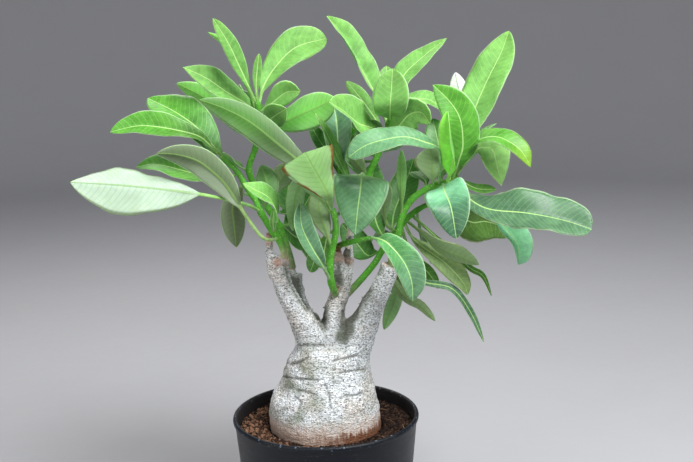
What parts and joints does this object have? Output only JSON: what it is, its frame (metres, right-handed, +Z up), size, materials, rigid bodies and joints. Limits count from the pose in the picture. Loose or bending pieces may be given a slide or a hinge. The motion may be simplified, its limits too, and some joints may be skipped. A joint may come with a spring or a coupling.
{
  "type": "potted plant",
  "caption": "Pachypodium with a swollen grey branching trunk and long green leaves, standing in soil in a plain round plastic pot.",
  "frame": {"origin": "centre of the pot's flat underside, on the pot's axis", "axes": "+Z up along the pot's axis, -Y towards the side the picture shows, +X to its right"},
  "size_m": [0.372, 0.2012, 0.4446],
  "materials": {
    "pot_plastic": "matte black, faint sheen on the lip",
    "soil_granules": null,
    "bark": "matte silvery bark with fine dark speckles",
    "leaf": null
  },
  "bodies": {
    "root": {"pot": "pot_plastic", "soil": "soil_granules", "trunk": "bark", "leafy_stem_left": "leaf", "leafy_stem_top_left": "leaf", "leafy_stem_front": "leaf", "leafy_stem_centre": "leaf", "leafy_stem_upper_right": "leaf", "leafy_stem_lower_right": "leaf", "front_hanging_leaf": "leaf"}
  },
  "joints": []
}
